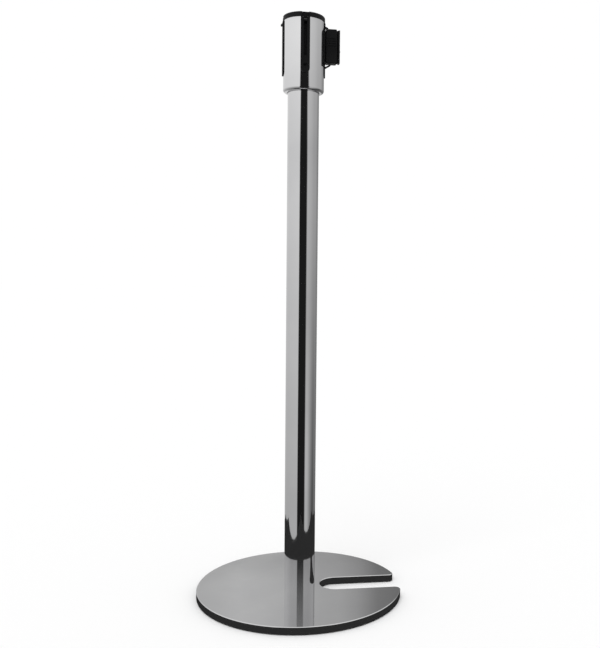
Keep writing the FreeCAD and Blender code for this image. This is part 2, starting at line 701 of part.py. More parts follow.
def cassette_frame(d):
    """Moulded frame: floor, round core and four ribs that the rails stand in."""
    low, high = d.cassette_bottom, d.deck_bottom
    height = high - low
    reach, half = d.frame_radius, d.rib_half_width
    core = cylinder("core_outside", d.bore_radius + d.core_wall, height, z=low)
    ribs = [box("rib_x", (-reach, -half, low), (reach, half, high)),
            box("rib_y", (-half, -reach, low), (half, reach, high))]
    limit = cylinder("rib_limit", reach, height, z=low)
    solid = common("frame_solid", fuse("frame_blank", [core] + ribs), limit)
    bore = cylinder("frame_bore", d.bore_radius, height, z=low + d.floor_thickness)
    pocket_half = d.rail_width / 2 + d.fit_gap
    rail_pocket = box("rail_pocket", (d.rail_back - d.fit_gap, -pocket_half, low),
                      (reach + BEYOND, pocket_half, high))
    pockets = turned_copies("rail_pocket_place", rail_pocket, QUARTERS)
    # The belt crosses this window on a slant, so it is wider on one side.
    window_half = d.belt_width / 2 + d.window_margin
    window = box("belt_window", (d.bore_radius - d.window_inset, -half, d.belt_middle - window_half),
                 (d.rail_back, d.window_side, d.belt_middle + window_half))
    bush_hole = cylinder("frame_bush_hole", d.bush_radius, d.floor_thickness, z=low)
    thread = radial_cylinder("rail_thread_hole", d.screw_radius,
                             d.rail_face_radius - d.screw_sink - d.screw_length, reach, d.screw_level, 0)
    threads = turned_copies("rail_thread", thread, QUARTERS)
    seat = cylinder("frame_screw_seat", d.frame_screw_head + d.catch_gap, d.floor_thickness,
                    d.frame_screw_ring, 0, low + d.frame_screw_lift)
    passage = cylinder("frame_screw_hole", d.frame_screw_radius, d.floor_thickness,
                       d.frame_screw_ring, 0, low)
    seats = turned_copies("frame_seat", fuse("frame_screw_bore", [seat, passage]), FRAME_SCREW_ANGLES)
    holes = fuse("frame_holes", [bore, window, bush_hole] + pockets + threads + seats)
    node(cut("cassette_frame_cut", solid, holes), "cassette_frame")


def cassette_screws(d):
    """Three screws that hold the cassette on the neck adapter."""
    seat = d.cassette_bottom + d.frame_screw_lift
    ring = d.frame_screw_ring
    head = cylinder("cassette_screw_head", d.frame_screw_head, d.frame_screw_height, ring, 0, seat)
    length = d.frame_screw_length + d.frame_screw_lift
    shank = cylinder("cassette_screw_shank", d.frame_screw_radius, length, ring, 0, seat - length)
    screw = fuse("cassette_screw", [head, shank])
    node(group("cassette_screw_set", turned_copies("cassette_screw_place", screw, FRAME_SCREW_ANGLES)),
         "cassette_screws")


def cassette_deck(d):
    """Upper deck: the axle's top bearing and the channels that the catches slide in."""
    low, high = d.deck_bottom, d.deck_top
    disc = cylinder("deck_disc", d.frame_radius, high - low, z=low)
    bore = cylinder("deck_bush_hole", d.bush_radius, high - low, z=low)
    pocket_half = d.rail_width / 2 + d.fit_gap
    notch = box("deck_notch", (d.rail_back - d.fit_gap, -pocket_half, low),
                (d.frame_radius + BEYOND, pocket_half, high))
    notches = turned_copies("deck_notch_place", notch, QUARTERS)
    half = d.channel_width / 2
    channel = box("deck_channel", (d.channel_start, -half, d.catch_bottom - d.catch_gap),
                  (d.rail_back, half, high))
    channels = turned_copies("deck_channel_place", channel, [angle for _, angle in RECEIVERS])
    screw_foot = d.sleeve_top + d.cap_height / 2 - d.cap_screw_length
    thread = cylinder("deck_thread_hole", d.screw_radius, high - screw_foot, d.cap_screw_ring, 0,
                      screw_foot)
    threads = turned_copies("deck_thread", thread, CAP_SCREW_ANGLES)
    holes = fuse("deck_holes", [bore] + notches + channels + threads)
    node(cut("cassette_deck_cut", disc, holes), "cassette_deck")


def bushes(d):
    """Blind bush under the axle and open bush above it."""
    bore = d.axle_radius + d.running_gap
    blind = cylinder("lower_bush_blank", d.bush_radius, d.bush_height, z=d.cassette_bottom)
    hole = cylinder("lower_bush_bore", bore, d.bush_height, z=d.cassette_bottom + d.axle_end_gap - d.fit_gap)
    node(cut("lower_bush_cut", blind, hole), "lower_bush")
    node(tube("upper_bush_ring", bore, d.bush_radius, d.bush_height, d.deck_bottom), "upper_bush")


def spring_case(d):
    """Cup and lid that hold the power spring."""
    low = d.cassette_bottom + d.floor_thickness + d.fit_gap
    high = d.spring_top + d.case_wall + d.case_hole_gap
    bore = d.axle_radius + d.case_hole_gap
    cup = cylinder("case_outside", d.case_radius, high - low, z=low)
    hollow = cylinder("case_hollow", d.case_radius - d.case_wall, high - low, z=low + d.case_wall)
    hole = cylinder("case_hole", bore, d.case_wall * 2, z=low)
    node(cut("spring_case_cut", cup, fuse("case_holes", [hollow, hole])), "spring_case")
    node(tube("case_lid", bore, d.case_radius, d.case_wall, high), "spring_case_lid")


def power_spring(d):
    """Flat spiral spring: half turns of growing radius, and a tab that sits in the axle's slot."""
    strip = d.strip.value
    width = d.spring_width.value
    inner = d.axle_radius.value + d.spring_eye_gap.value
    outer = d.case_radius.value - d.case_wall.value - d.fit_gap.value - strip
    growth = (outer - inner) / (2 * POWER_SPRING_TURNS)
    inside, outside = [], []
    for half_turn in range(2 * POWER_SPRING_TURNS):
        radius = inner + growth * (half_turn + 0.5)
        middle = growth / 2 if half_turn % 2 else -growth / 2
        sign = -1 if half_turn % 2 else 1
        for edges, reach in ((inside, radius), (outside, radius + strip)):
            points = [Vector(middle + sign * reach, 0, 0), Vector(middle, sign * reach, 0),
                      Vector(middle - sign * reach, 0, 0)]
            edges.append(Part.Arc(*points).toShape())
    first = Part.LineSegment(inside[0].Vertexes[0].Point, outside[0].Vertexes[0].Point).toShape()
    last = Part.LineSegment(inside[-1].Vertexes[-1].Point, outside[-1].Vertexes[-1].Point).toShape()
    ribbon = Part.Face(Part.Wire(Part.__sortEdges__(inside + outside + [first, last])))
    spiral = ribbon.extrude(Vector(0, 0, width))
    tab_start = d.spring_tab_start.value
    tab = Part.makeBox(inner + strip - tab_start, strip, width, Vector(tab_start, -strip, 0))
    spring = doc.addObject("Part::Feature", "power_spring_strip")
    spring.Shape = spiral.fuse(tab).removeSplitter()
    spring.Placement.Base = Vector(0, 0, d.spring_top.value - width)
    node(spring, "power_spring")


# ---------------------------------------------------------------- spool and belt

def spool(d):
    """Axle, two-flanged spool, the pin that anchors the belt, and the wound belt."""
    axle_low = d.cassette_bottom + d.axle_end_gap
    axle_high = d.deck_bottom + d.bush_height - d.axle_end_gap
    axle = cylinder("axle_rod", d.axle_radius, axle_high - axle_low, z=axle_low)
    # The slot is set off the axis by the strip that it holds.
    slot_side = -d.strip / 2 - d.axle_slot_width / 2
    slot_low = d.spring_top - d.spring_width - d.axle_slot_margin
    slot = box("axle_slot", (-d.bush_radius, slot_side, slot_low),
               (d.bush_radius, slot_side + d.axle_slot_width, d.spring_top + d.axle_slot_margin))
    node(cut("spool_axle_cut", axle, slot), "spool_axle")

    belt_low = d.belt_middle - d.belt_width / 2
    inner_low = belt_low - d.flange_gap
    inner_high = belt_low + d.belt_width + d.flange_gap
    low = inner_low - d.flange_thickness
    high = inner_high + d.flange_thickness
    boss_radius = d.axle_radius + d.boss_wall
    boss_low = d.spring_top + d.case_wall * 2 + d.case_hole_gap + d.play
    body = make_body("belt_spool")
    profile = add_sketch(body, "spool_profile", "XZ_Plane")
    outline(profile, [(d.axle_radius, boss_low), (boss_radius, boss_low), (boss_radius, low),
                      (d.flange_radius, low), (d.flange_radius, inner_low), (d.hub_radius, inner_low),
                      (d.hub_radius, inner_high), (d.flange_radius, inner_high), (d.flange_radius, high),
                      (d.axle_radius, high)])
    revolve(body, profile)
    groove_half = d.anchor_radius + d.play
    groove = add_sketch(body, "anchor_slot", offset=inner_high)
    rectangle(groove, d.anchor_ring - groove_half, -groove_half, d.hub_radius + BEYOND, groove_half)
    pocket(body, groove, inner_high - inner_low)
    node(cylinder("anchor_rod", d.anchor_radius, d.belt_width, d.anchor_ring, 0, belt_low),
         "belt_anchor_pin")
    node(tube("wound_belt", d.hub_radius, d.coil_radius, d.belt_width, belt_low), "belt_coil")


def belt(d):
    """The webbing between the coil and the clip, and the two pins that guide it."""
    belt_low = d.belt_middle - d.belt_width / 2
    half = d.belt_thickness / 2
    pin_gap = half + d.play + d.guide_pin_radius
    pins = [cylinder(f"guide_rod_{side}", d.guide_pin_radius, d.belt_width + d.guide_pin_rest * 2,
                     d.guide_pin_place, pin_gap * sign, belt_low - d.guide_pin_rest)
            for side, sign in (("left", 1), ("right", -1))]
    node(group("guide_rods", pins), "guide_pins")

    # The lead-in runs from the coil's tangent point towards the gap between the pins.
    reach = d.coil_radius.value + d.play.value + half.value
    angle = math.acos(reach / d.guide_pin_place.value)
    tangent = Vector(reach * math.cos(angle), -reach * math.sin(angle), 0)
    way = Vector(d.guide_pin_place.value, 0, 0) - tangent
    length = way.Length - d.lead_in_gap.value
    heading = math.degrees(math.atan2(way.y, way.x))
    side = Vector(-way.y, way.x, 0).normalize() * half.value
    lead = doc.addObject("Part::Box", "lead_in_strip")
    lead.Length = length
    bind(lead, "Width", d.belt_thickness)
    bind(lead, "Height", d.belt_width)
    lead.Placement = FreeCAD.Placement(tangent - side + Vector(0, 0, belt_low.value),
                                       FreeCAD.Rotation(Vector(0, 0, 1), heading))
    node(lead, "belt_lead_in")
    strip_end = d.loop_pin_place - d.loop_pin_radius - d.belt_thickness - d.fit_gap
    strip = box("webbing_strip", (d.webbing_start, -half, belt_low),
                (strip_end, half, belt_low + d.belt_width))
    node(strip, "belt_webbing")


# ---------------------------------------------------------------- belt-end clip

def clip_shell(d, label):
    """One half of the clip, with half of the T-head that drops into a receiver."""
    body = make_body(label)
    clip_case(d, body)
    clip_head(d, body)
    clip_hollows(d, body)
    for index in range(GRIP_GROOVES):
        level = d.belt_middle + d.grip_top - d.grip_pitch * index
        half = d.grip_width / 2
        groove = add_sketch(body, f"grip_groove_{index + 1}", "XZ_Plane", d.clip_half_width - d.grip_depth)
        rectangle(groove, d.clip_start + d.grip_start, level - half, d.clip_end - d.grip_end, level + half)
        pocket(body, groove, d.grip_depth * 2, reverse=True)
    return body


def clip_case(d, body):
    """The block that is gripped, rounded outside."""
    low = d.belt_middle - d.clip_height / 2
    side = add_sketch(body, "clip_side", "XZ_Plane")
    rectangle(side, d.clip_start, low, d.clip_end, low + d.clip_height)
    pad(body, side, d.clip_half_width)
    outer = -d.clip_half_width.value
    inner_end = d.clip_start.value
    dress(body, "Fillet", "Radius", d.clip_round, lambda e: e.BoundBox.YMin < outer + CLOSE
          or (e.BoundBox.YLength > d.clip_round.value and e.BoundBox.XMin < inner_end + CLOSE))


def clip_head(d, body):
    """Neck, T-head and the small nib on its end."""
    low = d.belt_middle - d.head_height / 2
    neck_end = d.clip_end + d.head_neck
    head_end = neck_end + d.head_thickness
    neck_half = (d.neck_width - d.neck_play) / 2
    for part, start, end, half in (("neck", d.clip_end - d.neck_root, neck_end, neck_half),
                                   ("head", neck_end, head_end, d.head_width / 2)):
        sketch = add_sketch(body, "clip_" + part, "XZ_Plane")
        rectangle(sketch, start, low, end, low + d.head_height)
        pad(body, sketch, half)
    level = d.belt_middle - d.nib_drop
    half = d.nib_height / 2
    root = head_end - d.nib_root
    nib = add_sketch(body, "clip_nib", "XZ_Plane")
    outline(nib, [(root, level - half), (head_end, level - half), (head_end + d.nib_reach, level),
                  (head_end, level + half), (root, level + half)])
    pad(body, nib, d.nib_width / 2)


def clip_hollows(d, body):
    """Room for the belt, its sewn loop, the loop pin's ends and the dowels."""
    belt_half = d.belt_width / 2 + d.channel_margin
    channel = add_sketch(body, "clip_channel", "XZ_Plane")
    rectangle(channel, d.clip_start - BEYOND, d.belt_middle - belt_half, d.loop_pin_place,
              d.belt_middle + belt_half)
    pocket(body, channel, d.belt_channel_half, reverse=True)
    loop = add_sketch(body, "clip_loop_bore", offset=d.belt_middle - belt_half)
    circle(loop, d.loop_pin_radius + d.belt_thickness + d.catch_gap, d.loop_pin_place)
    pocket(body, loop, belt_half * 2, reverse=True)
    pin_half = d.belt_width / 2 + d.loop_pin_rest
    pin_seat = add_sketch(body, "clip_pin_seat", offset=d.belt_middle - pin_half)
    circle(pin_seat, d.loop_pin_radius, d.loop_pin_place)
    pocket(body, pin_seat, pin_half * 2, reverse=True)
    dowels = add_sketch(body, "clip_dowel_holes", "XZ_Plane")
    for level in (d.belt_middle - d.dowel_spread, d.belt_middle + d.dowel_spread):
        circle(dowels, d.clip_dowel_radius, d.clip_end - d.clip_dowel_inset, level)
    pocket(body, dowels, d.clip_dowel_length / 2, reverse=True)


def clip(d):
    """The belt's end: two shells, their dowels, the belt's sewn loop and the pin inside it."""
    mirror = doc.addObject("Part::Mirroring", "clip_mirror")
    mirror.Source = clip_shell(d, "clip_shell_front")
    mirror.Normal = Vector(0, 1, 0)
    node(mirror, "clip_shell_rear")
    belt_low = d.belt_middle - d.belt_width / 2
    belt_high = d.belt_middle + d.belt_width / 2
    pin_half = d.belt_width / 2 + d.loop_pin_rest
    node(cylinder("loop_rod", d.loop_pin_radius, pin_half * 2, d.loop_pin_place, 0,
                  d.belt_middle - pin_half), "clip_pin")
    outer = d.loop_pin_radius + d.belt_thickness
    ring = cylinder("loop_outside", outer, d.belt_width, d.loop_pin_place, 0, belt_low)
    ply = box("loop_ply", (d.clip_start + d.ply_inset, d.belt_thickness / 2, belt_low),
              (d.loop_pin_place - d.loop_pin_radius, d.belt_thickness * 1.5, belt_high))
    hole = cylinder("loop_inside", d.loop_pin_radius, d.belt_width, d.loop_pin_place, 0, belt_low)
    node(cut("belt_loop_cut", fuse("belt_loop_solid", [ring, ply]), hole), "belt_loop")
    dowels = []
    for side, level in (("low", d.belt_middle - d.dowel_spread), ("high", d.belt_middle + d.dowel_spread)):
        dowel = cylinder("clip_dowel_" + side, d.clip_dowel_radius, d.clip_dowel_length)
        dowel.Placement.Rotation = FreeCAD.Rotation(Vector(1, 0, 0), 90)
        dowels.append(place(dowel, d.clip_end - d.clip_dowel_inset, d.clip_dowel_length / 2, level))
    node(group("clip_dowel_pair", dowels), "clip_dowels")


# ---------------------------------------------------------------- build and write

def build():
    d = fill_sheet()
    base_plate(d)
    floor_pads(d)
    base_fasteners(d)
    post_tube(d)
    neck(d)
    head_sleeve(d)
    top_cap(d)
    cap_screws(d)
    for name, angle in RECEIVERS:
        receiver(d, name, angle)
        catch(d, name, angle)
        catch_spring(d, name, angle)
    belt_mouth(d)
    rail_screws(d)
    cassette_frame(d)
    cassette_screws(d)
    cassette_deck(d)
    bushes(d)
    spring_case(d)
    power_spring(d)
    spool(d)
    belt(d)
    clip(d)
    doc.recompute()


def check_and_write():
    """Stop on any failed object or shape, then write one file per sub-part."""
    for obj in doc.Objects:
        if "Invalid" in obj.State or "Error" in obj.State:
            raise SystemExit(f"{obj.Name} failed: {obj.State}")
    for obj in nodes:
        if obj.Shape.isNull() or not obj.Shape.isValid() or not obj.Shape.Solids:
            raise SystemExit(f"{obj.Label} has no valid solid")
    os.makedirs("parts", exist_ok=True)
    for obj in nodes:
        obj.Shape.exportStep(f"parts/{obj.Label}.step")
        print(f"{obj.Label}: {len(obj.Shape.Solids)} solids, {obj.Shape.Volume:.1f} mm3")


build()
check_and_write()
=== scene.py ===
import json
import math

import bpy
from mathutils import Matrix, Vector


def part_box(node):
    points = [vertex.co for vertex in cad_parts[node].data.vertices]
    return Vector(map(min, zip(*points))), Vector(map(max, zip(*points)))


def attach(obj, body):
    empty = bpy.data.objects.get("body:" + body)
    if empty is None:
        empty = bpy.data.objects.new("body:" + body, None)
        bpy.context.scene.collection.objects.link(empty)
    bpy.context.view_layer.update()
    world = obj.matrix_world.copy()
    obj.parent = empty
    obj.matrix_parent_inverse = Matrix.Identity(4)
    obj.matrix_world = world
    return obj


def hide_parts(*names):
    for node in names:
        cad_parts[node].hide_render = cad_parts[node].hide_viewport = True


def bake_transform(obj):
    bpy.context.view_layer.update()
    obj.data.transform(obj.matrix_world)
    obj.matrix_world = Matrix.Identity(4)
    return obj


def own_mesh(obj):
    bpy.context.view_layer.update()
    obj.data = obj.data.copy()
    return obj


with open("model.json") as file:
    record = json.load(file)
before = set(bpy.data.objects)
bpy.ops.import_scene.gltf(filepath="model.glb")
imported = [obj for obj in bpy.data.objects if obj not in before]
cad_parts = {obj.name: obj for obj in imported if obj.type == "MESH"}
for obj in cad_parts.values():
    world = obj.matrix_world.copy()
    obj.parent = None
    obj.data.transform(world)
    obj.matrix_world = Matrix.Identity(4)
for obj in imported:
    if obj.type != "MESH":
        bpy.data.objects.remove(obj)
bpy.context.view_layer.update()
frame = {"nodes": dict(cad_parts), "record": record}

# Retractable belt stanchion: looks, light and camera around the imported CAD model.
# Metres, +Z up.  The belt leaves the head along +X.

# ---------------------------------------------------------------- named values

# The eye point, seen from the post's axis, and its lens.  Angles in degrees.
EYE_DISTANCE = 1.347
EYE_HEIGHT = 0.526
EYE_AZIMUTH = -4.2
EYE_PITCH = -3.82
EYE_YAW = -4.695
EYE_ROLL = 0.787
SENSOR = 36
LENS = 45.306
SHIFT_X = -0.10525
SHIFT_Y = 0.01643
NEAREST = 0.05
FARTHEST = 60

# Light: even sky plus one soft sun.  The floor's tone times their sum is the backdrop.
SKY_LIGHT = 0.93
SUN_SHARE = 0.16
SUN_FROM = (-0.5, -0.75, 1.1)
SUN_BREADTH = 35
FLOOR_TONE = 0.92
FLOOR_FIBRE = 0.012
FLOOR_REACH = 40

# What the polished metal reflects, as courses of (angle, value) joined by straight lines.  Heights
# are angles above the horizon; bearings run round it, 0 towards -Y and 90 towards +X.  In degrees.
# The walls:
WALL_HEIGHT = ((-90, 0.10), (-25, 0.34), (-15, 0.39), (-10, 0.43), (-5, 0.475), (0, 0.51), (4, 0.56),
               (9, 0.565), (14, 0.655), (18, 0.74), (90, 0.8))
WALL_BEARING = ((-180, 1.9), (-165, 1.2), (-120, 1.13), (-60, 1.17), (-20, 1.2), (27, 0.88), (60, 0.8),
                (85, 0.68), (110, 0.66), (140, 0.4), (168, 0.42), (174, 1.2), (180, 1.9))
# Light thrown on the lower wall, right of the eye:
GLOW_HEIGHT = ((-90, 0.5), (-12.6, 0.42), (-9, 0.22), (-3, 0.0), (90, 0.0))
GLOW_BEARING = ((-180, 0.0), (20, 0.0), (30, 1.0), (50, 1.0), (100, 0.0), (180, 0.0))
# A dark doorway on the right:
DOOR_HEIGHT = ((-90, 0.9), (-16, 0.75), (-10, 0.5), (-4, 0.28), (2, 0.06), (6, 0.0), (90, 0.0))
DOOR_BEARING = ((-180, 0.0), (50, 0.0), (98, 1.0), (104, 1.0), (135, 0.0), (180, 0.0))
DOOR_TONE = 0.02
# The ceiling, and the lighter part overhead:
CEILING_BEARING = ((-180, 0.505), (-177.6, 0.46), (-120, 0.5), (-70, 0.42), (70, 0.36), (120, 0.4),
                   (150, 0.25), (165, 0.15), (169.9, 0.17), (170.7, 0.248), (171.5, 0.31), (172.3, 0.355),
                   (173.2, 0.387), (174.4, 0.393), (177, 0.46), (180, 0.505))
CEILING_HEIGHT = ((-90, 0.78), (19, 0.8), (20.6, 1.0), (90, 1.0))
CEILING_SHARE = ((-90, 0.0), (17.5, 0.0), (18.6, 1.0), (90, 1.0))
OVERHEAD_SHARE = ((-90, 0.0), (25, 0.0), (30, 1.0), (90, 1.0))
OVERHEAD_TONE = 0.75
# The dark gap around the eye, which narrows upwards and fades out past the ceiling's edge:
GAP_WIDE = ((-180, 0.0), (-27, 0.0), (-24, 1.0), (26, 1.0), (33, 0.0), (180, 0.0))
GAP_NARROW = ((-180, 0.0), (-24, 0.0), (-21, 1.0), (23, 1.0), (29, 0.0), (180, 0.0))
GAP_NARROWING = ((-90, 0.0), (8, 0.0), (14, 1.0), (90, 1.0))
GAP_SHARE = ((-90, 1.0), (19, 1.0), (28, 0.0), (90, 0.0))
GAP_TONE = 0.012
# The dark mat that only mirrors see, in metres:
MAT_OUTLINE = ((0.01, -0.52), (0.52, -0.01), (0.36, 0.38), (0.0, 0.44), (-0.32, 0.36), (-0.47, 0.05))

# Moulded plastics: darkest tone, lightest tone, roughness.
MOULDINGS = {
    "black_moulding": ((0.0035, 0.0035, 0.0038), (0.0065, 0.0065, 0.007), 0.34),
    "catch_moulding": ((0.006, 0.006, 0.0065), (0.011, 0.011, 0.012), 0.3),
    "clip_moulding": ((0.0035, 0.0035, 0.0038), (0.007, 0.007, 0.0075), 0.36),
    "acetal": ((0.62, 0.61, 0.57), (0.7, 0.69, 0.65), 0.35),
}

# Metals that aren't polished: the same three values.
PLAIN_METALS = {
    "zinc_steel": ((0.5, 0.51, 0.54), (0.66, 0.67, 0.68), 0.22),
    "cast_aluminium": ((0.5, 0.5, 0.51), (0.62, 0.62, 0.63), 0.42),
    "black_screw": ((0.02, 0.02, 0.022), (0.045, 0.045, 0.048), 0.3),
    "spring_steel": ((0.2, 0.22, 0.26), (0.36, 0.37, 0.4), 0.25),
}

# The webbing's weave, in metres: the chevron's depth and the pitch of its ribs and warp threads.
CHEVRON = 0.004
RIB_PITCH = 0.0016
WARP_PITCH = 0.0009

# The belt strip: its segments, and its bevelled edge in half thicknesses.
BELT_STEPS = 48
BELT_EDGE = 1.2

# The power spring: a flat spiral clear of the axle, and the tab that reaches into the axle's slot.
SPIRAL_TURNS = 9
SPIRAL_STEPS = 48
STRIP_THICKNESS = 0.0004
SPIRAL_GAP = 0.00035
TAB_START = 0.0012
TAB_GAP = 0.0001


# ---------------------------------------------------------------- node helpers

class Nodes:
    """A short way to build a node tree."""

    def __init__(self, tree):
        self.tree = tree
        tree.nodes.clear()

    def add(self, kind, **settings):
        item = self.tree.nodes.new(kind)
        for name, value in settings.items():
            setattr(item, name, value)
        return item

    def link(self, source, target):
        self.tree.links.new(source, target)

    def math(self, operation, *values):
        item = self.add("ShaderNodeMath", operation=operation)
        for socket, value in zip(item.inputs, values):
            if isinstance(value, (int, float)):
                socket.default_value = value
            else:
                self.link(value, socket)
        return item.outputs[0]

    def spread(self, source, width, start):
        """start where the source is 0, and start + width where it is 1."""
        return self.math("MULTIPLY_ADD", source, width, start)

    def ramp(self, source, stops):
        """A colour ramp of grey or coloured stops."""
        item = self.add("ShaderNodeValToRGB")
        points = item.color_ramp.elements
        points[0].position = stops[0][0]
        points[-1].position = stops[-1][0]
        for position, _ in stops[1:-1]:
            points.new(position)
        for point, (_, colour) in zip(points, stops):
            grey = isinstance(colour, (int, float))
            point.color = (colour, colour, colour, 1) if grey else (*colour, 1)
        self.link(source, item.inputs[0])
        return item.outputs[0]

    def mix(self, factor, first, second):
        """first where the factor is 0, second where it is 1; numbers stand for greys."""
        item = self.add("ShaderNodeMix", data_type="RGBA")
        self.link(factor, item.inputs[0])
        for socket, value in ((item.inputs[6], first), (item.inputs[7], second)):
            if isinstance(value, (int, float)):
                socket.default_value = (value, value, value, 1)
            else:
                self.link(value, socket)
        return item.outputs[2]

    def noise(self, vector, scale, detail, roughness=0.5):
        item = self.add("ShaderNodeTexNoise")
        item.inputs["Scale"].default_value = scale
        item.inputs["Detail"].default_value = detail
        item.inputs["Roughness"].default_value = roughness
        self.link(vector, item.inputs["Vector"])
        return item.outputs["Fac"]

    def stretched(self, vector, scale):
        item = self.add("ShaderNodeMapping")
        item.inputs["Scale"].default_value = scale
        self.link(vector, item.inputs["Vector"])
        return item.outputs["Vector"]

    def bump(self, height, strength, distance):
        item = self.add("ShaderNodeBump")
        item.inputs["Strength"].default_value = strength
        item.inputs["Distance"].default_value = distance
        self.link(height, item.inputs["Height"])
        return item.outputs["Normal"]


def new_material(name):
    """A material with an empty principled shader, its nodes, and the place on the piece."""
    material = bpy.data.materials.new(name)
    material.use_nodes = True
    nodes = Nodes(material.node_tree)
    shader = nodes.add("ShaderNodeBsdfPrincipled")
    output = nodes.add("ShaderNodeOutputMaterial")
    nodes.link(shader.outputs[0], output.inputs[0])
    place = nodes.add("ShaderNodeTexCoord").outputs["Object"]
    return material, nodes, shader, place


# ---------------------------------------------------------------- materials

def polished_steel():
    """Mirror-polished stainless steel: faint smears, and hairlines up the post."""
    material, nodes, shader, place = new_material("polished_steel")
    smear = nodes.noise(place, scale=9.0, detail=4.0, roughness=0.6)
    hairline = nodes.noise(nodes.stretched(place, (900, 900, 14)), scale=1.0, detail=2.0)
    tone = nodes.ramp(smear, [(0.3, (0.80, 0.80, 0.81)), (0.7, (0.87, 0.87, 0.875))])
    haze = nodes.spread(smear, width=0.035, start=0.02)
    rough = nodes.spread(hairline, width=0.025, start=haze)
    scratches = nodes.bump(hairline, strength=0.02, distance=0.0002)
    shader.inputs["Metallic"].default_value = 1.0
    nodes.link(tone, shader.inputs["Base Color"])
    nodes.link(rough, shader.inputs["Roughness"])
    nodes.link(scratches, shader.inputs["Normal"])
    return material


def moulding(name, dark, light, roughness):
    """Satin moulded plastic: fine spark-eroded grain and slight gloss changes."""
    material, nodes, shader, place = new_material(name)
    cloud = nodes.noise(place, scale=35.0, detail=4.0)
    grain = nodes.noise(place, scale=2600.0, detail=2.0)
    shader.inputs["Specular IOR Level"].default_value = 0.22
    nodes.link(nodes.ramp(cloud, [(0.3, dark), (0.75, light)]), shader.inputs["Base Color"])
    nodes.link(nodes.spread(cloud, width=0.16, start=roughness), shader.inputs["Roughness"])
    nodes.link(nodes.bump(grain, strength=0.25, distance=0.00012), shader.inputs["Normal"])
    return material


def rubber():
    """Matt rubber: a coarse grain with dust in it."""
    material, nodes, shader, place = new_material("rubber")
    dust = nodes.noise(place, scale=60.0, detail=5.0)
    grain = nodes.noise(place, scale=1400.0, detail=3.0)
    nodes.link(nodes.ramp(dust, [(0.35, 0.012), (0.8, 0.035)]), shader.inputs["Base Color"])
    nodes.link(nodes.spread(dust, width=0.2, start=0.65), shader.inputs["Roughness"])
    nodes.link(nodes.bump(grain, strength=0.4, distance=0.0003), shader.inputs["Normal"])
    return material


def plain_metal(name, dark, light, roughness):
    """Plated, cast or blued metal with a soft mottle."""
    material, nodes, shader, place = new_material(name)
    mottle = nodes.noise(place, scale=120.0, detail=5.0)
    fine = nodes.noise(place, scale=1800.0, detail=2.0)
    shader.inputs["Metallic"].default_value = 1.0
    nodes.link(nodes.ramp(mottle, [(0.3, dark), (0.75, light)]), shader.inputs["Base Color"])
    nodes.link(nodes.spread(mottle, width=0.2, start=roughness), shader.inputs["Roughness"])
    nodes.link(nodes.bump(fine, strength=0.15, distance=0.0001), shader.inputs["Normal"])
    return material


def webbing():
    """Woven polyester: warp threads crossed by ribs that run in chevrons, with a little fuzz."""
    material, nodes, shader, place = new_material("black_webbing")
    parts = nodes.add("ShaderNodeSeparateXYZ")
    nodes.link(place, parts.inputs[0])
    along, up = parts.outputs[0], parts.outputs[2]
    slant = nodes.math("ADD", along, nodes.math("PINGPONG", up, CHEVRON))
    rib = nodes.math("SINE", nodes.math("MULTIPLY", slant, 2 * math.pi / RIB_PITCH))
    warp = nodes.math("SINE", nodes.math("MULTIPLY", up, 2 * math.pi / WARP_PITCH))
    weave = nodes.spread(nodes.math("MULTIPLY", rib, warp), width=0.5, start=0.5)
    fuzz = nodes.noise(place, scale=3000.0, detail=3.0)
    height = nodes.spread(fuzz, width=0.35, start=weave)
    tone = nodes.ramp(weave, [(0.1, (0.008, 0.008, 0.009)), (0.9, (0.035, 0.035, 0.037))])
    shader.inputs["Sheen Weight"].default_value = 0.25
    shader.inputs["Sheen Roughness"].default_value = 0.4
    nodes.link(tone, shader.inputs["Base Color"])
    nodes.link(nodes.spread(fuzz, width=0.2, start=0.62), shader.inputs["Roughness"])
    nodes.link(nodes.bump(height, strength=0.6, distance=0.0003), shader.inputs["Normal"])
    return material


def make_materials():
    """Every material of the object, by the name of its slot."""
    made = {"polished_steel": polished_steel(), "rubber": rubber(), "black_webbing": webbing()}
    for name, finish in MOULDINGS.items():
        made[name] = moulding(name, *finish)
    for name, finish in PLAIN_METALS.items():
        made[name] = plain_metal(name, *finish)
    return made


def dress_nodes(materials):
    """Give every CAD node the finished material of its slot."""
    for part in frame["record"]["subparts"]:
        slots = frame["nodes"][part["node"]].data.materials
        slots.clear()
        slots.append(materials[part["material_slot"]])


# ---------------------------------------------------------------- pieces that change shape

def new_object(name, points, faces):
    """A mesh in the row frame, linked to the scene."""
    mesh = bpy.data.meshes.new(name)
    mesh.from_pydata(points, [], faces)
    item = bpy.data.objects.new(name, mesh)
    bpy.context.scene.collection.objects.link(item)
    return item


def piece(name, points, faces, materials, slot):
    """A visible piece of the object, with the material of one of its slots."""
    item = new_object(name, points, faces)
    item.data.materials.append(materials[slot])
    return item


def swept(rings):
    """Points and faces of a closed solid that runs through rings of equally many points."""
    count = len(rings[0])
    points = [point for ring in rings for point in ring]
    last = len(points) - count
    faces = [tuple(reversed(range(count))), tuple(range(last, last + count))]
    for start in range(0, last, count):
        for index in range(count):
            first, second = start + index, start + (index + 1) % count
            faces.append((first, second, second + count, first + count))
    return points, faces


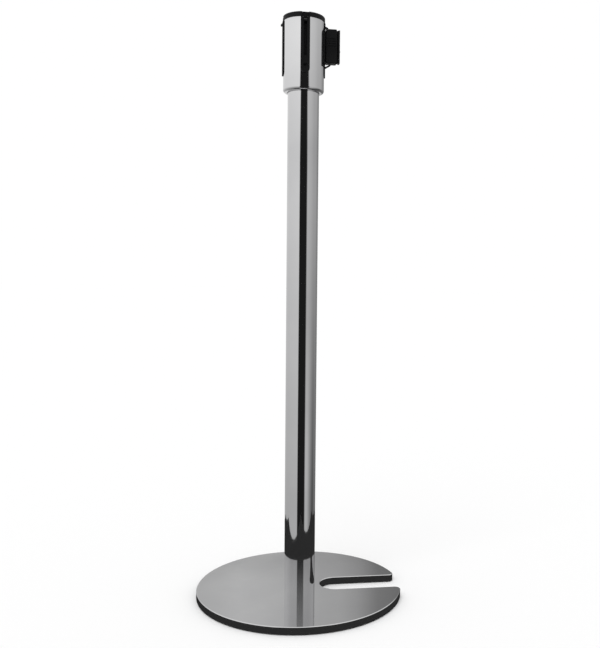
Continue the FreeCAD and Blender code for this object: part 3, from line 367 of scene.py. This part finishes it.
def belt_strip(materials):
    """The belt from the guide pins to the clip: a thin woven band with rounded selvedges."""
    low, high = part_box("belt_webbing")
    middle = (low.z + high.z) / 2
    half = (high.z - low.z) / 2
    thick = (high.y - low.y) / 2
    edge = thick * BELT_EDGE
    section = [(thick, -half + edge), (thick, half - edge), (thick / 2, half), (-thick / 2, half),
               (-thick, half - edge), (-thick, -half + edge), (-thick / 2, -half), (thick / 2, -half)]
    rings = []
    for step in range(BELT_STEPS + 1):
        along = low.x + (high.x - low.x) * step / BELT_STEPS
        rings.append([(along, side, middle + level) for side, level in section])
    strip = piece("belt_strip", *swept(rings), materials, "black_webbing")
    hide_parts("belt_webbing")
    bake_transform(strip)


def catch_springs(materials):
    """Each catch's spring: a copy of its CAD node in spring steel, fixed to the post."""
    for joint in frame["record"]["behaviour"]["joints"]:
        if not joint["name"].startswith("catch_"):
            continue
        node = frame["nodes"][joint["deforming_nodes"][0]["node"]]
        points = [node.matrix_world @ vertex.co for vertex in node.data.vertices]
        faces = [tuple(face.vertices) for face in node.data.polygons]
        side = joint["name"].split("_")[1]
        spring = piece(f"coil_spring_{side}", points, faces, materials, "spring_steel")
        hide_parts(node.name)
        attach(spring, "post")
        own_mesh(spring)


def power_spring(materials):
    """The spiral stays with its case while the tab on its inner end turns in the axle's slot."""
    box_low, box_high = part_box("power_spring")
    low, high = box_low.z, box_high.z
    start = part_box("spool_axle")[1].x + SPIRAL_GAP
    growth = box_high.x - STRIP_THICKNESS - start
    steps = SPIRAL_TURNS * SPIRAL_STEPS
    rings = []
    for step in range(steps + 1):
        turn = 2 * math.pi * step / SPIRAL_STEPS
        inside = start + growth * step / steps
        outside = inside + STRIP_THICKNESS
        corners = ((inside, low), (inside, high), (outside, high), (outside, low))
        rings.append([(radius * math.cos(turn), radius * math.sin(turn), level)
                      for radius, level in corners])
    spiral = piece("power_spring_spiral", *swept(rings), materials, "spring_steel")
    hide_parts("power_spring")
    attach(spiral, "post")
    corners = ((0.0, low), (0.0, high), (-STRIP_THICKNESS, high), (-STRIP_THICKNESS, low))
    rings = [[(x, y, z) for y, z in corners] for x in (TAB_START, start - TAB_GAP)]
    tab = piece("power_spring_tab", *swept(rings), materials, "spring_steel")
    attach(tab, "spool")


# ---------------------------------------------------------------- surroundings

def floor_patch(name, outline, paint):
    """One flat, matt polygon at floor level, which isn't part of the object."""
    corners = [(x, y, 0.0) for x, y in outline]
    patch = new_object(name, corners, [tuple(range(len(corners)))])
    material, nodes, shader, place = new_material(name)
    nodes.link(paint(nodes, place), shader.inputs["Base Color"])
    shader.inputs["Roughness"].default_value = 1.0
    shader.inputs["Specular IOR Level"].default_value = 0.0
    patch.data.materials.append(material)
    return patch


def paper(nodes, place):
    """The floor's tone: near white, with fine fibres."""
    fibre = nodes.noise(place, scale=700.0, detail=2.0)
    return nodes.ramp(fibre, [(0.0, FLOOR_TONE - FLOOR_FIBRE), (1.0, FLOOR_TONE + FLOOR_FIBRE)])


def felt(nodes, place):
    """The mat's tone: near black, with loose fluff."""
    fluff = nodes.noise(place, scale=500.0, detail=3.0)
    return nodes.ramp(fluff, [(0.3, 0.026), (0.8, 0.04)])


def pale_floor():
    """A pale matt floor without a visible horizon; mirrors see the dark mat instead."""
    reach = FLOOR_REACH
    outline = [(-reach, -reach), (reach, -reach), (reach, reach), (-reach, reach)]
    floor = floor_patch("floor", outline, paper)
    floor.visible_glossy = False


def dark_mat():
    """What polished metal sees of the floor close by: a dark mat."""
    mat = floor_patch("mat", MAT_OUTLINE, felt)
    mat.visible_camera = False
    mat.visible_diffuse = False
    mat.visible_shadow = False


class Room:
    """The room that mirrors see, as shader values of the direction looked in."""

    def __init__(self, nodes):
        self.nodes = nodes
        parts = nodes.add("ShaderNodeSeparateXYZ")
        nodes.link(nodes.add("ShaderNodeTexCoord").outputs["Generated"], parts.inputs[0])
        east, north, self.up = parts.outputs
        south = nodes.math("MULTIPLY", north, -1.0)
        self.bearing = nodes.math("MULTIPLY", nodes.math("ARCTAN2", east, south), 180 / math.pi)

    def round_about(self, stops):
        """A value that changes round the horizon."""
        turn = self.nodes.spread(self.bearing, width=1 / 360, start=0.5)
        return self.nodes.ramp(turn, [(angle / 360 + 0.5, value) for angle, value in stops])

    def upwards(self, stops):
        """A value that changes with the angle above the horizon."""
        place = self.nodes.spread(self.up, width=0.5, start=0.5)
        levels = [(math.sin(math.radians(angle)) / 2 + 0.5, value) for angle, value in stops]
        return self.nodes.ramp(place, levels)

    def both(self, heights, bearings):
        """The product of a course by height and a course by bearing."""
        return self.nodes.math("MULTIPLY", self.upwards(heights), self.round_about(bearings))

    def walls(self):
        """Grey walls with the glow low down and the doorway."""
        glow = self.nodes.math("ADD", self.both(GLOW_HEIGHT, GLOW_BEARING), 1.0)
        wall = self.nodes.math("MULTIPLY", self.both(WALL_HEIGHT, WALL_BEARING), glow)
        return self.nodes.mix(self.both(DOOR_HEIGHT, DOOR_BEARING), wall, DOOR_TONE)

    def gap(self):
        """How much of the wall the dark gap around the eye takes away."""
        width = self.nodes.mix(self.upwards(GAP_NARROWING), self.round_about(GAP_WIDE),
                               self.round_about(GAP_NARROW))
        return self.nodes.math("MULTIPLY", width, self.upwards(GAP_SHARE))

    def tone(self):
        """The walls and ceiling with the gap and the lighter part overhead."""
        ceiling = self.both(CEILING_HEIGHT, CEILING_BEARING)
        room = self.nodes.mix(self.upwards(CEILING_SHARE), self.walls(), ceiling)
        room = self.nodes.mix(self.gap(), room, GAP_TONE)
        return self.nodes.mix(self.upwards(OVERHEAD_SHARE), room, OVERHEAD_TONE)


def studio_world():
    """Even white light on everything, and a plain backdrop; only mirrors see the room."""
    world = bpy.data.worlds.new("studio")
    world.use_nodes = True
    nodes = Nodes(world.node_tree)
    path = nodes.add("ShaderNodeLightPath")
    lit = nodes.mix(path.outputs["Is Camera Ray"], SKY_LIGHT, FLOOR_TONE * (SKY_LIGHT + SUN_SHARE))
    colour = nodes.mix(path.outputs["Is Glossy Ray"], lit, Room(nodes).tone())
    background = nodes.add("ShaderNodeBackground")
    output = nodes.add("ShaderNodeOutputWorld")
    nodes.link(colour, background.inputs["Color"])
    nodes.link(background.outputs[0], output.inputs[0])
    world.cycles.sampling_method = "NONE"
    bpy.context.scene.world = world


def soft_sun():
    """One broad, weak sun from the upper left, for form on the black parts and a faint shadow."""
    towards = Vector(SUN_FROM).normalized()
    data = bpy.data.lights.new("sun", "SUN")
    data.angle = math.radians(SUN_BREADTH)
    data.energy = SUN_SHARE * math.pi / towards.z
    sun = bpy.data.objects.new("sun", data)
    sun.rotation_euler = towards.to_track_quat("Z", "Y").to_euler()
    sun.visible_glossy = False
    bpy.context.scene.collection.objects.link(sun)


def eye_point():
    """The camera stands in front, a little to the left, just over half way up the post."""
    data = bpy.data.cameras.new("eye")
    data.sensor_fit = "VERTICAL"
    data.sensor_height = SENSOR
    data.sensor_width = SENSOR
    data.lens = LENS
    data.shift_x = SHIFT_X
    data.shift_y = SHIFT_Y
    data.clip_start = NEAREST
    data.clip_end = FARTHEST
    camera = bpy.data.objects.new("eye", data)
    angles = (EYE_AZIMUTH, EYE_PITCH, EYE_YAW, EYE_ROLL)
    bearing, pitch, yaw, roll = (math.radians(angle) for angle in angles)
    camera.location = (EYE_DISTANCE * math.sin(bearing), -EYE_DISTANCE * math.cos(bearing), EYE_HEIGHT)
    facing = Matrix.Rotation(bearing + yaw, 3, "Z")
    lean = Matrix.Rotation(math.pi / 2 + pitch, 3, "X")
    tilt = Matrix.Rotation(roll, 3, "Z")
    camera.rotation_euler = (facing @ lean @ tilt).to_euler()
    bpy.context.scene.collection.objects.link(camera)
    bpy.context.scene.camera = camera


# ---------------------------------------------------------------- make

materials = make_materials()
dress_nodes(materials)
belt_strip(materials)
catch_springs(materials)
power_spring(materials)
pale_floor()
dark_mat()
studio_world()
soft_sun()
eye_point()

view = bpy.context.scene.view_settings
view.view_transform = "Standard"
view.look = "None"
